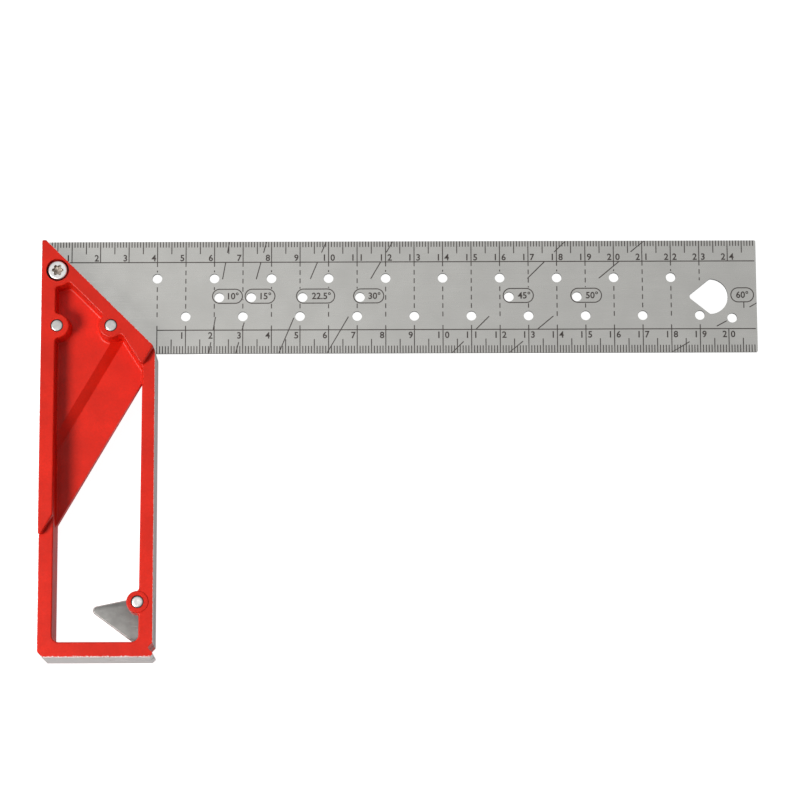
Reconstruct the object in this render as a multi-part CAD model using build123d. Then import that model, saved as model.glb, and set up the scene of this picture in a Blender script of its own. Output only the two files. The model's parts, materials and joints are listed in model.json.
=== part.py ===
"""Try and mitre square: a cast stock, a steel rule blade fixed in it, and a support plate that swings
out of the stock's inner face.

The square frame is used while modelling, in millimetres:
  x = 0 is the machined inner face of the stock, and the blade reaches out along +x
  y = 0 is the blade's lower edge, and the stock hangs down along -y
  z = 0 is the middle of the blade's thickness, and both sides of the stock are the same
Every piece is moved at the end, so that the origin is under the middle of the whole square, on the
surface that its back rests on.
"""

import os
from math import cos, radians, sin, sqrt, tan

from build123d import *

# Blade
BLADE_REACH = 210.0  # from the inner face of the stock to the free end
BLADE_WIDTH = 40.0
BLADE_THICKNESS = 1.2
BLADE_TAIL = 38.3  # length held inside the stock, just past the end of the mitre face
BLADE_CORNER = 0.5
MARKING_HOLE_RADIUS = 1.7
MARKING_PITCH = 20.0
MARKING_COUNT = 10
UPPER_ROW_START = (0.0, 26.8)
LOWER_ROW_START = (10.0, 13.2)
PIVOT_HOLE_XS = (21.7, 32.9, 50.9, 71.0, 123.2, 147.0)  # one for each angle line, at mid width
END_PIVOT_HOLE = (201.3, 12.2)  # of the flattest angle line
HANGER_MIDDLE = (193.6, 19.9)  # of the hanging hole's round half
HANGER_RADIUS = 6.3
HANGER_POINT = 7.8  # from the round half's middle to the point of the other half
HANGER_CORNER_RADIUS = 1.2

# Stock
STOCK_WIDTH = 39.4
STOCK_LENGTH = 107.4  # below the blade's lower edge
THIN = 9.0  # half thickness of the lower frame
THICK = 12.5  # half thickness of the mitre rail and the upper outer rail
MITRE_TIP_Y = 38.1
HEEL_RADIUS = 3.5  # where the mitre face runs into the inner face
FOOT_CHAMFER = 2.0
FOOT_INNER_CHAMFER = 1.0
OUTER_RAIL = 5.0
INNER_RAIL = 4.9
INNER_RAIL_TOP = 4.4
FOOT_RAIL = 5.3
MITRE_RAIL = 4.75
MITRE_RAIL_BEND_X = -11.8  # beyond it the mitre rail widens towards the heel
SLOPE = 60.0  # degrees from the blade, of every oblique line in the casting
THICK_LINE_Y = 1.1  # where the thick part's lower limit would cross x = 0
WINDOW_LINE_Y = -2.1  # where the window's oblique side would cross x = 0
WEB = 1.75  # half thickness of the web beside the window
RAISED_WEB = 4.5  # half thickness of the web around the blade
RAMP_SET_BACK = 13.0  # from the window's oblique side to the foot of the web's ramp
RAMP_RUN = 3.2
WINDOW_CORNER = 2.4
CAST_CORNER = 1.2  # smallest corner radius inside the casting, seen from the front
CAST_ALLOWANCE = 0.4  # machined off the outside, which cuts into the rounded cast edge
THICK_EDGE = 0.6  # radius of the thick part's cast edges
THIN_EDGE = 0.5  # radius of the lower frame's cast edges
THICK_CORNER = 1.0  # smallest corner radius of the thick part, seen from the front
FLOOR_FILLET = 1.0  # radius where a wall stands on the web
NOTCH_Y = -104.1  # finger notch in the inner face
NOTCH_HALF_WIDTH = 1.8
NOTCH_DEPTH = 1.7
NOTCH_ROOT_RADIUS = 0.6
SEAT_RING = 0.2  # how much wider than a fastener's head its seat is

# Blade fasteners
SCREW_AT = (-33.9, 27.3)
SCREW_BOSS = 5.7
SCREW_HEAD_RADIUS = 3.35
SCREW_HEAD_HEIGHT = 2.6
SCREW_HEAD_EDGE = 0.55
SCREW_SUNK = 0.2  # of the head below the thick part's face
SCREW_RADIUS = 2.0
SCREW_CLEARANCE = 0.1
SCREW_SEAT_RADIUS = 3.95
SCREW_TIP_Z = -10.5
SCREW_TIP_CHAMFER = 0.5
RECESS_VALLEY = 1.38  # six-lobed recess, from its middle to the narrow places
RECESS_LOBE = 0.46
RECESS_LOBE_AT = 1.47
RECESS_DEPTH = 1.7
RIVETS_AT = {"blade_rivet_outer": (-33.9, 7.6), "blade_rivet_inner": (-15.2, 7.6)}
RIVET_BOSS = 4.3
RIVET_RADIUS = 2.0
RIVET_EDGE = 0.25
RIVET_SEAT_DEPTH = 0.6

# Support plate, its pin and its washer
PIN_AT = (-5.3, -88.4)
PIN_BOSS = 3.8
PIN_BOSS_PROUD = 0.35
PIN_BOSS_EDGE = 0.3
PIN_RADIUS = 1.5
PIN_HEAD_RADIUS = 2.0
PIN_HEAD_HEIGHT = 1.2
PIN_HEAD_EDGE = 0.35
PLATE_THICKNESS = 1.5
PLATE_MIDDLE_Z = 0.1
PLATE_RUNNING = 0.05  # radial clearance on the pin
PLATE_ENDS = (  # middle from the pin, and radius: around the pin, the tail, the working corner
    ((0.0, 0.0), 2.6),
    ((-14.3, -1.85), 1.5),
    ((3.3, -15.8), 0.8),
)
PLATE_EDGE = 0.2
PLATE_SLOT = 2.0
SLOT_TOP = 3.0  # above the pin's middle
SLOT_TOP_AT_FACE = 2.45  # and at the inner face, where it stops the plate
SLOT_FOOT_X = -9.9  # how far the slot opens the foot, from the pin
WASHER_RADIUS = 2.5
WASHER_THICKNESS = 0.25
WASHER_GAP = 0.05

TINY = 1e-3
FAR = 60.0  # longer than anything that a cut has to pass through
REST_SHIFT = (
    (STOCK_WIDTH - BLADE_REACH) / 2,
    (STOCK_LENGTH - BLADE_WIDTH) / 2,
    THICK,
)


def polygon(*points):
    return make_face(Polyline(*points, close=True))


def disc(at, radius):
    return Pos(at[0], at[1]) * Circle(radius)


def slab(face, half_thickness, middle=0.0):
    """The face made solid, the same distance to both sides of z = middle."""
    return Pos(0, 0, middle) * extrude(face, half_thickness, both=True)


def rod(at, radius, low, high):
    return slab(disc(at, radius), (high - low) / 2, (high + low) / 2)


def rounded_slab(face, half_thickness, radius):
    """A slab whose edges are rounded on both sides."""
    body = slab(face, half_thickness)
    rims = [edge for edge in body.edges() if abs(edge.center().Z) > half_thickness - 1e-6]
    return fillet(rims, radius)


def opened(face, radius):
    """The face with every outward corner rounded."""
    return offset(offset(face, -radius), radius)


def corner_near(face, point):
    return face.vertices().sort_by_distance(point)[0]


def ends(piece, axis=Axis.Z):
    """The edges at a piece's two ends along an axis."""
    groups = piece.edges().group_by(axis)
    return groups[0] + groups[-1]


# ---------------------------------------------------------------- blade


def hanging_hole():
    """Round towards the free end, and drawn to a rounded point towards the stock."""
    x, y = HANGER_MIDDLE
    top = (x, y + HANGER_RADIUS)
    low = (x, y - HANGER_RADIUS)
    point = (x - HANGER_POINT, y)
    sides = Polyline(top, point, low)
    face = make_face([*sides.edges(), ThreePointArc(low, (x + HANGER_RADIUS, y), top).edge()])
    return fillet(face.vertices(), HANGER_CORNER_RADIUS)


def marking_holes():
    starts = (UPPER_ROW_START, LOWER_ROW_START)
    spots = [(x + i * MARKING_PITCH, y) for x, y in starts for i in range(MARKING_COUNT)]
    spots += [(x, BLADE_WIDTH / 2) for x in PIVOT_HOLE_XS]
    spots.append(END_PIVOT_HOLE)
    return [disc(spot, MARKING_HOLE_RADIUS) for spot in spots]


def blade():
    plate = polygon(
        (-BLADE_TAIL, 0),
        (BLADE_REACH, 0),
        (BLADE_REACH, BLADE_WIDTH),
        (-BLADE_TAIL, BLADE_WIDTH),
    )
    plate = fillet(plate.vertices().group_by(Axis.X)[-1], BLADE_CORNER)
    fastener_holes = [disc(SCREW_AT, SCREW_RADIUS + SCREW_CLEARANCE)]
    fastener_holes += [disc(at, RIVET_RADIUS) for at in RIVETS_AT.values()]
    face = plate - [hanging_hole(), *marking_holes(), *fastener_holes]
    return slab(face, BLADE_THICKNESS / 2)


# ---------------------------------------------------------------- stock


def machined_outline(allowance=0.0):
    """The stock seen from the front: outer face, foot, inner face and mitre face."""
    outer = -STOCK_WIDTH - allowance
    inner = allowance
    foot = -STOCK_LENGTH - allowance
    mitre = allowance * sqrt(2)  # x + y on the mitre face
    face = polygon(
        (outer, foot),
        (inner, foot),
        (inner, mitre - inner),
        (mitre - MITRE_TIP_Y, MITRE_TIP_Y),
        (outer, MITRE_TIP_Y),
    )
    face = fillet(corner_near(face, (inner, mitre - inner)), HEEL_RADIUS)
    face = chamfer(corner_near(face, (outer, foot)), FOOT_CHAMFER)
    return chamfer(corner_near(face, (inner, foot)), FOOT_INNER_CHAMFER)


def above_slope(line_y):
    """Everything above the oblique line that would cross x = 0 at line_y."""
    run = 3 * FAR
    rise = run * tan(radians(SLOPE))
    return polygon((run, line_y + rise), (-run, line_y - rise), (-run, line_y + rise))


def inside_of_rails():
    """The pocket and the window together: the space that the rails and the bosses leave."""
    left = OUTER_RAIL - STOCK_WIDTH
    low = FOOT_RAIL - STOCK_LENGTH
    mitre_inner = -MITRE_RAIL * sqrt(2)  # x + y along the mitre rail's inner side
    space = polygon(
        (left, low),
        (-INNER_RAIL, low),
        (-INNER_RAIL_TOP, THICK_LINE_Y - INNER_RAIL_TOP * tan(radians(SLOPE))),
        (MITRE_RAIL_BEND_X, mitre_inner - MITRE_RAIL_BEND_X),
        (left, mitre_inner - left),
    )
    space = fillet(space.vertices().group_by(Axis.Y)[0], WINDOW_CORNER)
    space -= [disc(SCREW_AT, SCREW_BOSS), disc(PIN_AT, PIN_BOSS)]
    space -= [disc(at, RIVET_BOSS) for at in RIVETS_AT.values()]
    return opened(space, CAST_CORNER)


def raised_web(space):
    """The thicker web around the blade, which slopes down to the thin web on both sides."""
    foot_y = WINDOW_LINE_Y + RAMP_SET_BACK / cos(radians(SLOPE))
    web = slab(space & above_slope(foot_y), RAISED_WEB)
    along = Vector(cos(radians(SLOPE)), sin(radians(SLOPE)), 0)
    downhill = Vector(sin(radians(SLOPE)), -cos(radians(SLOPE)), 0)
    for side in (1, -1):
        normal = downhill * (RAISED_WEB - WEB) + Vector(0, 0, side * RAMP_RUN)
        ramp = Plane(origin=(0, foot_y, side * WEB), x_dir=along, z_dir=normal)
        web = split(web, bisect_by=ramp, keep=Keep.BOTTOM)
    return web


def lies_on(edge, height):
    """True where a level edge is at that height, in front or behind."""
    return abs(abs(edge.center().Z) - height) < TINY and edge.bounding_box().size.Z < TINY


def wall_feet(body, space):
    """The edges where the walls of the pocket stand on the web."""
    walls = space.edges()
    feet = []
    for edge in body.edges():
        middle = edge.position_at(0.5)
        flat_middle = Vertex(middle.X, middle.Y, 0)
        level = lies_on(edge, WEB) or lies_on(edge, RAISED_WEB)
        ramp = abs(edge.bounding_box().size.Z - (RAISED_WEB - WEB)) < TINY
        if (level or ramp) and walls.sort_by_distance(flat_middle)[0].distance_to(flat_middle) < TINY:
            feet.append(edge)
    return feet


def casting():
    """Rails, web and bosses as cast, with the allowance still on the outside."""
    space = inside_of_rails()
    rails = machined_outline(CAST_ALLOWANCE) - space
    thick_rails = opened(rails & above_slope(THICK_LINE_Y), THICK_CORNER)
    body = rounded_slab(rails, THIN, THIN_EDGE)
    body += rounded_slab(thick_rails, THICK, THICK_EDGE)
    body += slab(space & above_slope(WINDOW_LINE_Y), WEB)
    body += raised_web(space)
    body = fillet(wall_feet(body, space), FLOOR_FILLET)
    body += rounded_slab(disc(PIN_AT, PIN_BOSS), THIN + PIN_BOSS_PROUD, PIN_BOSS_EDGE)
    return body


def blade_slot():
    gap = 0.05
    face = polygon(
        (-BLADE_TAIL - gap, -gap),
        (FAR, -gap),
        (FAR, FAR),
        (-BLADE_TAIL - gap, FAR),
    )
    return slab(face, BLADE_THICKNESS / 2 + gap)


def plate_slot():
    """Open to the window, the inner face and the foot. Its upper wall stops the plate."""
    x, y = PIN_AT
    fall = (SLOT_TOP - SLOT_TOP_AT_FACE) / -x  # of the upper wall, towards the inner face
    face = polygon(
        (x + SLOT_FOOT_X, y - FAR),
        (x + SLOT_FOOT_X, y),
        (x - 2 * PIN_BOSS, y + SLOT_TOP),
        (x, y + SLOT_TOP),
        (-2 * x, y + SLOT_TOP + 3 * fall * x),
        (-2 * x, y - FAR),
    )
    return slab(face, PLATE_SLOT / 2)


def finger_notch():
    over = 1.0
    reach = NOTCH_HALF_WIDTH * (1 + over / NOTCH_DEPTH)
    root = (-NOTCH_DEPTH, NOTCH_Y)
    face = polygon(root, (over, NOTCH_Y - reach), (over, NOTCH_Y + reach))
    return slab(fillet(corner_near(face, root), NOTCH_ROOT_RADIUS), FAR)


def fastener_holes():
    seat_floor = THICK - SCREW_SUNK - SCREW_HEAD_HEIGHT
    holes = [
        rod(SCREW_AT, SCREW_RADIUS, -FAR, 0),
        rod(SCREW_AT, SCREW_RADIUS + SCREW_CLEARANCE, 0, FAR),
        rod(SCREW_AT, SCREW_SEAT_RADIUS, seat_floor, FAR),
        rod(PIN_AT, PIN_RADIUS, -FAR, FAR),
    ]
    pin_seat = THIN + PIN_BOSS_PROUD - PIN_HEAD_HEIGHT
    for low, high in ((-FAR, -pin_seat), (pin_seat, FAR)):
        holes.append(rod(PIN_AT, PIN_HEAD_RADIUS + SEAT_RING, low, high))
    for at in RIVETS_AT.values():
        holes.append(rod(at, RIVET_RADIUS, -FAR, FAR))
        for low, high in ((-FAR, RIVET_SEAT_DEPTH - THICK), (THICK - RIVET_SEAT_DEPTH, FAR)):
            holes.append(rod(at, RIVET_RADIUS + SEAT_RING, low, high))
    return holes


def stock():
    body = casting() & slab(machined_outline(), FAR)
    return body - [blade_slot(), plate_slot(), finger_notch(), *fastener_holes()]


# ---------------------------------------------------------------- fasteners


def six_lobe_recess(at, floor):
    face = disc(at, RECESS_VALLEY)
    for i in range(6):
        turn = radians(60 * i)
        lobe_at = (at[0] + RECESS_LOBE_AT * cos(turn), at[1] + RECESS_LOBE_AT * sin(turn))
        face += disc(lobe_at, RECESS_LOBE)
    return Pos(0, 0, floor) * extrude(face, FAR)


def blade_screw():
    """Six-lobe screw: loose in the front half, threaded into the back half."""
    top = THICK - SCREW_SUNK
    head = rod(SCREW_AT, SCREW_HEAD_RADIUS, top - SCREW_HEAD_HEIGHT, top)
    head = fillet(head.edges().group_by(Axis.Z)[-1], SCREW_HEAD_EDGE)
    shank = rod(SCREW_AT, SCREW_RADIUS, SCREW_TIP_Z, top - SCREW_HEAD_HEIGHT)
    shank = chamfer(shank.edges().group_by(Axis.Z)[0], SCREW_TIP_CHAMFER)
    return head + shank - six_lobe_recess(SCREW_AT, top - RECESS_DEPTH)


def blade_rivet(at):
    body = rod(at, RIVET_RADIUS, -THICK, THICK)
    return chamfer(ends(body), RIVET_EDGE)


def support_pin():
    """A shank between two flat heads, which are formed in the seats of the stock."""
    top = THIN + PIN_BOSS_PROUD
    body = rod(PIN_AT, PIN_RADIUS, -top + PIN_HEAD_HEIGHT, top - PIN_HEAD_HEIGHT)
    for low, high in ((-top, PIN_HEAD_HEIGHT - top), (top - PIN_HEAD_HEIGHT, top)):
        body += rod(PIN_AT, PIN_HEAD_RADIUS, low, high)
    return chamfer(ends(body), PIN_HEAD_EDGE)


# ---------------------------------------------------------------- support plate


def support_plate():
    """A three-cornered plate, drawn put away, with its tail in the window."""
    circles = [Pos(*PIN_AT) * disc(at, radius) for at, radius in PLATE_ENDS]
    face = make_hull([edge for circle in circles for edge in circle.edges()])
    body = slab(face, PLATE_THICKNESS / 2, PLATE_MIDDLE_Z)
    body = chamfer(ends(body), PLATE_EDGE)
    return body - rod(PIN_AT, PIN_RADIUS + PLATE_RUNNING, -FAR, FAR)


def friction_washer():
    """A thin spring washer behind the plate, which keeps it where it is put."""
    low = WASHER_GAP - PLATE_SLOT / 2
    ring = disc(PIN_AT, WASHER_RADIUS) - disc(PIN_AT, PIN_RADIUS)
    return slab(ring, WASHER_THICKNESS / 2, low + WASHER_THICKNESS / 2)


def square():
    pieces = {"stock": stock(), "blade": blade(), "blade_screw": blade_screw()}
    for name, at in RIVETS_AT.items():
        pieces[name] = blade_rivet(at)
    pieces["support_pin"] = support_pin()
    pieces["support_plate"] = support_plate()
    pieces["friction_washer"] = friction_washer()
    return pieces


if __name__ == "__main__":
    os.makedirs("parts", exist_ok=True)
    for name, piece in square().items():
        export_step(Pos(*REST_SHIFT) * piece, f"parts/{name}.step")
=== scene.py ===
"""Try and mitre square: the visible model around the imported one.

The square frame is used for sizes below, in millimetres: x = 0 is the stock's machined inner face,
y = 0 is the blade's lower edge, and z = 0 is the middle of the blade's thickness. The function placed
turns such points into the part's frame, in metres.
"""

import json
from math import cos, pi, radians, sin, sqrt, tan

import bmesh
import bpy
import numpy as np
from bpy.props import BoolProperty, FloatProperty, FloatVectorProperty, PointerProperty
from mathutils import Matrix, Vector

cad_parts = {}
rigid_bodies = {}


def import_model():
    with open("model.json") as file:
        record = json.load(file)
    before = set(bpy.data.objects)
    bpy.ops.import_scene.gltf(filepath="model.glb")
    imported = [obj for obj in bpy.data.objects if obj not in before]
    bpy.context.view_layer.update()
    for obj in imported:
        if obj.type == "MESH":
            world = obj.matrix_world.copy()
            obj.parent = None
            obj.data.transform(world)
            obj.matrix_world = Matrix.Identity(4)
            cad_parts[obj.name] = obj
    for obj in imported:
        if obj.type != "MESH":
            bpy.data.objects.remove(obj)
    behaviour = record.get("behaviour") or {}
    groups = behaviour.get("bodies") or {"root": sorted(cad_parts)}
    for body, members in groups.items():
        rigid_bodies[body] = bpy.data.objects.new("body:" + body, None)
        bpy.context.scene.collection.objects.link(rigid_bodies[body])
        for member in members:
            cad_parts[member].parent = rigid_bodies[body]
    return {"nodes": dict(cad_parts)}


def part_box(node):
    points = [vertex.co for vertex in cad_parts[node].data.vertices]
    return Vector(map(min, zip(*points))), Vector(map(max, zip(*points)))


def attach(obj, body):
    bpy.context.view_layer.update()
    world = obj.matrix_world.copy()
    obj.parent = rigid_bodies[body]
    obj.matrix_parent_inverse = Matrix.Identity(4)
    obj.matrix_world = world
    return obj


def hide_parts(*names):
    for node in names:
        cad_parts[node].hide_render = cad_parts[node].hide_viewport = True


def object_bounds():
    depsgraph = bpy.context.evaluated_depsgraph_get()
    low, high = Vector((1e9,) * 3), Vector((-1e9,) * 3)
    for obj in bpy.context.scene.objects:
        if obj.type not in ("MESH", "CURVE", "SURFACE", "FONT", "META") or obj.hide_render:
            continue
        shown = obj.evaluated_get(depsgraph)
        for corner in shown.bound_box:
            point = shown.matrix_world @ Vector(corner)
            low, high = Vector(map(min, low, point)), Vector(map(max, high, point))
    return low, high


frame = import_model()
CAD_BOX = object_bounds()

bl_info = {
    "name": "Try and mitre square",
    "version": (1, 0, 0),
    "blender": (4, 5, 0),
    "location": "3D Viewport > Sidebar > Square",
    "description": "Builds the visible model of a try and mitre square around its CAD frame",
    "category": "Object",
}

MM = 0.001
STOCK_LOW, STOCK_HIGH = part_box("stock")
BLADE_LOW, BLADE_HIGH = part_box("blade")
CORNER = np.array([STOCK_HIGH.x, BLADE_LOW.y, (BLADE_LOW.z + BLADE_HIGH.z) / 2])
BLADE_END = (BLADE_HIGH.x - STOCK_HIGH.x) / MM
BLADE_WIDTH = (BLADE_HIGH.y - BLADE_LOW.y) / MM
BLADE_FACE = (BLADE_HIGH.z - BLADE_LOW.z) / 2 / MM
STOCK_WIDTH = (STOCK_HIGH.x - STOCK_LOW.x) / MM
STOCK_LENGTH = (BLADE_LOW.y - STOCK_LOW.y) / MM
FOOT_CHAMFERS = (2.0, 1.0)  # at the outer and the inner end of the foot
HEEL_CUT = 0.3  # how far the rounded heel stays inside the sharp corner
SLOT_REACH = 1.1  # half the height of the milled slots, and a little more
SEAT_GAP = 0.3  # around a fastener's head
FACING = 0.9  # cosine, for faces that look along a direction
UPRIGHT = 0.5  # largest height of the normal of a face that stands upright

# Holes of the blade: middles, radii, and for a pivot hole its x and the angle of its line
SMALL_HOLE = 1.7
UPPER_HOLES = [(20.0 * i, 26.8) for i in range(10)]
LOWER_HOLES = [(10.0 + 20.0 * i, 13.2) for i in range(10)]
PIVOTS = ((21.7, 10.0), (32.9, 15.0), (50.9, 22.5), (71.0, 30.0), (123.2, 45.0), (147.0, 50.0))
END_PIVOT = (201.3, 12.2)
HANGER_MIDDLE = (193.6, 19.9)
HANGER_RADIUS = 6.3
HANGER_POINT = 7.8

# Markings of the blade
UPPER_ZERO = -40.0
UPPER_BASE = 32.6
LOWER_BASE = 8.3
UPPER_TICKS = (2.0, 4.4)  # lengths of the millimetre and the 5 mm ticks
LOWER_TICKS = (2.6, 5.0)
BASE_STOP = 0.5  # how far the base lines stop before the blade's end
TICK_START = 0.5  # along x, from the mitre face to the inner end of the first tick
LINE_START = 0.6  # the same, to the upper base line
UPPER_LAST, LOWER_LAST = 24, 20  # last numbered centimetres
UPPER_FOOT, LOWER_FOOT = UPPER_BASE + 0.5, LOWER_BASE - 3.0  # of the numbers
STUB = 1.6  # solid start of a dashed line, beyond a base line
DASH = 1.7
GAP = 1.3
SHORTEST_LINE = 0.3
LINE_CLEARANCE = 0.5  # around holes
POINT_CLEARANCE = 1.15  # the hanging hole's point is cleared as if it were this much larger
LABEL_CLEARANCE = 0.2
LABEL_LOW, LABEL_HIGH = 17.7, 23.1
LABELS = (  # left and right end, and the text
    (19.2, 30.0, "10°"),
    (30.6, 41.4, "15°"),
    (48.6, 62.3, "22.5°"),
    (68.6, 79.5, "30°"),
    (121.0, 131.9, "45°"),
    (144.7, 155.8, "50°"),
    (200.8, 209.1, "60°"),
)
LABEL_ASIDE = 0.75  # how far a text gives way to a hole, as a share of the label's half height
LABEL_DROP = 1.05  # from the label's middle to the text's foot
LINES_ABOVE = ((BLADE_WIDTH, 36.0), (UPPER_BASE, 26.5))  # upper and lower y of an angle line's pieces
LINES_BELOW = ((13.0, LOWER_BASE), (4.0, 0.0))
UNBROKEN_BELOW = ((13.0, 0.0),)
UNBROKEN_ANGLES = (22.5, 30.0)
END_LINES = (
    ((180.1, 0.0), (186.2, 3.7)),
    ((195.8, 9.2), END_PIVOT),
    ((207.4, 16.0), (BLADE_END, 17.5)),
)
END_LABEL_LINE = ((205.45, LABEL_LOW), (205.45, 15.7))
DIGIT_SPREAD = 1.45  # of the two digits of a number from their line
DIGIT_BESIDE = 1.3  # of a single digit from its line
DIGIT_WEIGHT = 0.07  # added to every side of a digit's strokes
CAPITAL = 0.73  # height of a digit, as a share of the font's size

# Fasteners and support plate, as (radius, drop from the end) or millimetres
SCREW_RADIUS = 3.35
SCREW_ROUND = 0.55
SCREW_HEAD = 2.6
SHANK_RADIUS = 2.0
SHANK_CHAMFER = 0.5
LOBES = 0.165  # depth of the screw recess's lobes, as a share of their radius
SCREW_RECESS = (  # radius, drop from the head's top, and depth of the lobes
    (0.0, 1.75, 0),
    (0.5, 1.72, 0),
    (1.1, 1.68, LOBES),
    (1.52, 1.60, LOBES),
    (1.60, 1.45, LOBES),
    (1.65, 0.30, LOBES),
    (1.70, 0.10, LOBES),
    (1.80, 0.0, LOBES * 0.9),
    (2.1, 0.0, 0.03),
    (2.45, 0.0, 0),
)
RECESS_REACH = 2.1  # painted shade in the recess lies inside this radius
RECESS_SHADE_DEPTH = 0.05  # and deeper than this
RIVET_END = ((0.0, 0.0), (0.9, 0.004), (1.6, 0.02), (1.82, 0.06), (1.94, 0.16), (2.0, 0.4))
PIN_END = (
    (0.0, 0.04),
    (0.6, 0.02),
    (1.2, 0.0),
    (1.65, 0.03),
    (1.88, 0.14),
    (2.0, 0.36),
    (2.0, 1.2),
    (1.5, 1.2),
)
PLATE_ENDS = ((0.0, 0.0, 2.6), (-14.3, -1.85, 1.5), (3.3, -15.8, 0.8))  # from the pin, and radius
PLATE_HOLE = 1.55
PLATE_ROUND = 0.42
PLATE_HIGHLIGHT_BAND = (0.39, 0.01)  # the band round its upper edge that gets a painted highlight, as drops from the upper face

SMOOTH_ANGLE = radians(28)  # flatter edges are shaded as one surface
ROUND_ANGLE = radians(50)  # the same, for small rounded ends

# Fastener finishes: roughness, then the size and the depth of the dents in metres
FINISHES = {
    "bright_plating": (0.30, 0.0012, 0.000006),
    "pin_plating": (0.32, 0.0008, 0.00004),
    "rivet_metal": (0.36, 0.0009, 0.000012),
    "washer_steel": (0.32, 0.0006, 0.000008),
}

# Stage, in metres and radians
CAMERA_AT = (-0.00741, -0.21291, 1.20228)
CAMERA_ROLL = (radians(-0.2905), radians(-0.235))  # about y and z
LIGHTS = (  # name and setting, place, aim, diameter, colour
    ("key_light", (-0.46, -0.2, 0.58), (-0.06, -0.01, 0.01), 0.26, (1, 0.98, 0.95)),
    ("blade_light", (-0.2, 0.26, 1.38), (-0.05, 0.02, 0), 0.45, (1, 1, 1)),
    ("overhead_light", (-0.2, 0.3, 1.4), (-0.05, 0.02, 0), 1.6, (1, 1, 1)),
)
FLOOR_SIZE = 3.0  # from the middle to a side
FLOOR_GAP = 0.00005  # below the square
FLOOR_BOUNCE = 0.3  # how bright the floor looks to the square, by itself
BELOW_HORIZON = 0.8  # how bright the room is there
HORIZON_FADE = 0.05  # how far below the horizon it is fully so


def placed(points):
    """Square-frame millimetres to part-frame metres."""
    return CORNER + MM * np.asarray(points, float)


# ---------------------------------------------------------------- settings


def length(name, text, millimetres):
    """A length setting, whose default is given in millimetres."""
    return FloatProperty(
        name=name, description=text, default=millimetres * MM, min=0, unit="LENGTH", precision=5
    )


def colour(name, text, value):
    """A colour setting."""
    return FloatVectorProperty(
        name=name, description=text, default=value, size=3, min=0, max=1, subtype="COLOR"
    )


def share(name, text, value):
    """A setting between 0 and 1."""
    return FloatProperty(name=name, description=text, default=value, min=0, max=1, subtype="FACTOR")


def power(name, text, watts):
    """A light's power setting."""
    return FloatProperty(name=name, description=text, default=watts, min=0, unit="POWER")


class CoatSettings(bpy.types.PropertyGroup):
    """The stock's powder coat and the bare metal beside it."""

    red: colour("Coat", "Colour of the powder coat", (0.78, 0.021, 0.008))
    roughness: share("Roughness", "Roughness of the powder coat", 0.36)
    peel: length("Peel", "Size of the coat's orange peel", 0.6)
    bare: colour("Bare metal", "Colour of the machined faces", (0.62, 0.60, 0.60))
    smooth_angle: FloatProperty(
        name="Smooth angle",
        description="Faces that meet at less than this look like one surface",
        default=SMOOTH_ANGLE,
        subtype="ANGLE",
    )


class SteelSettings(bpy.types.PropertyGroup):
    """The blade, the fasteners and the support plate."""

    blade: colour("Blade", "Colour of the satin steel", (0.60, 0.595, 0.57))
    blade_roughness: share("Blade roughness", "Roughness of the satin steel", 0.27)
    grain: length("Grain", "Width of one grain line on the blade", 0.09)
    plating: colour("Plating", "Colour of the screw and the pin", (0.84, 0.83, 0.82))
    rivet: colour("Rivets", "Colour of the rivets", (0.60, 0.60, 0.585))
    plate: colour("Plate", "Colour of the support plate", (0.17, 0.17, 0.165))


class MarkingSettings(bpy.types.PropertyGroup):
    """The rule's ink."""

    ink: colour("Ink", "Colour of the lines and numbers", (0.052, 0.043, 0.040))
    stroke: length("Stroke", "Width of the lines", 0.35)
    digit_height: length("Digits", "Height of the numbers", 2.35)
    layer: length("Layer", "Thickness of the ink", 0.012)
    both_sides: BoolProperty(
        name="Both sides", description="Mark the blade's back as well", default=True
    )


class StageSettings(bpy.types.PropertyGroup):
    """Floor, lights and camera."""

    floor: colour("Floor", "Colour of the floor", (0.40, 0.40, 0.40))
    floor_glow: FloatProperty(
        name="Floor glow", description="How bright the floor looks by itself", default=0.97, min=0
    )
    sky: FloatProperty(name="Sky", description="Strength of the even light", default=0.15, min=0)
    room: FloatProperty(
        name="Room", description="How bright the room looks in polished metal", default=0.5, min=0
    )
    key_light: power("Key light", "Power of the light from the left", 4.4)
    overhead_light: power("Overhead light", "Power of the wide light above", 1.4)
    blade_light: power("Blade light", "Power of the light that the blade's left end mirrors", 0.13)
    lens: FloatProperty(
        name="Lens", description="Focal length", default=156.5, min=1, unit="CAMERA"
    )
    tilt: FloatProperty(
        name="Tilt", description="From straight down", default=radians(10.94), subtype="ANGLE"
    )


# ---------------------------------------------------------------- meshes


def grid_quads(rows, columns, wrap_rows=False):
    """Quads between neighbouring points of a grid, whose points are numbered row by row and whose last
    column meets the first."""
    i = np.arange(rows if wrap_rows else rows - 1)[:, None]
    j = np.arange(columns)[None, :]
    below, right = (i + 1) % rows, (j + 1) % columns
    corners = (
        i * columns + j,
        i * columns + right,
        below * columns + right,
        below * columns + j,
    )
    return np.stack(np.broadcast_arrays(*corners), -1).reshape(-1, 4)


def joined(parts):
    """Several (points, faces) made one, with the faces renumbered."""
    points = np.concatenate([p for p, _ in parts])
    starts = np.cumsum([0] + [len(p) for p, _ in parts[:-1]])
    return points, np.concatenate([faces + start for (_, faces), start in zip(parts, starts)])


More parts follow.
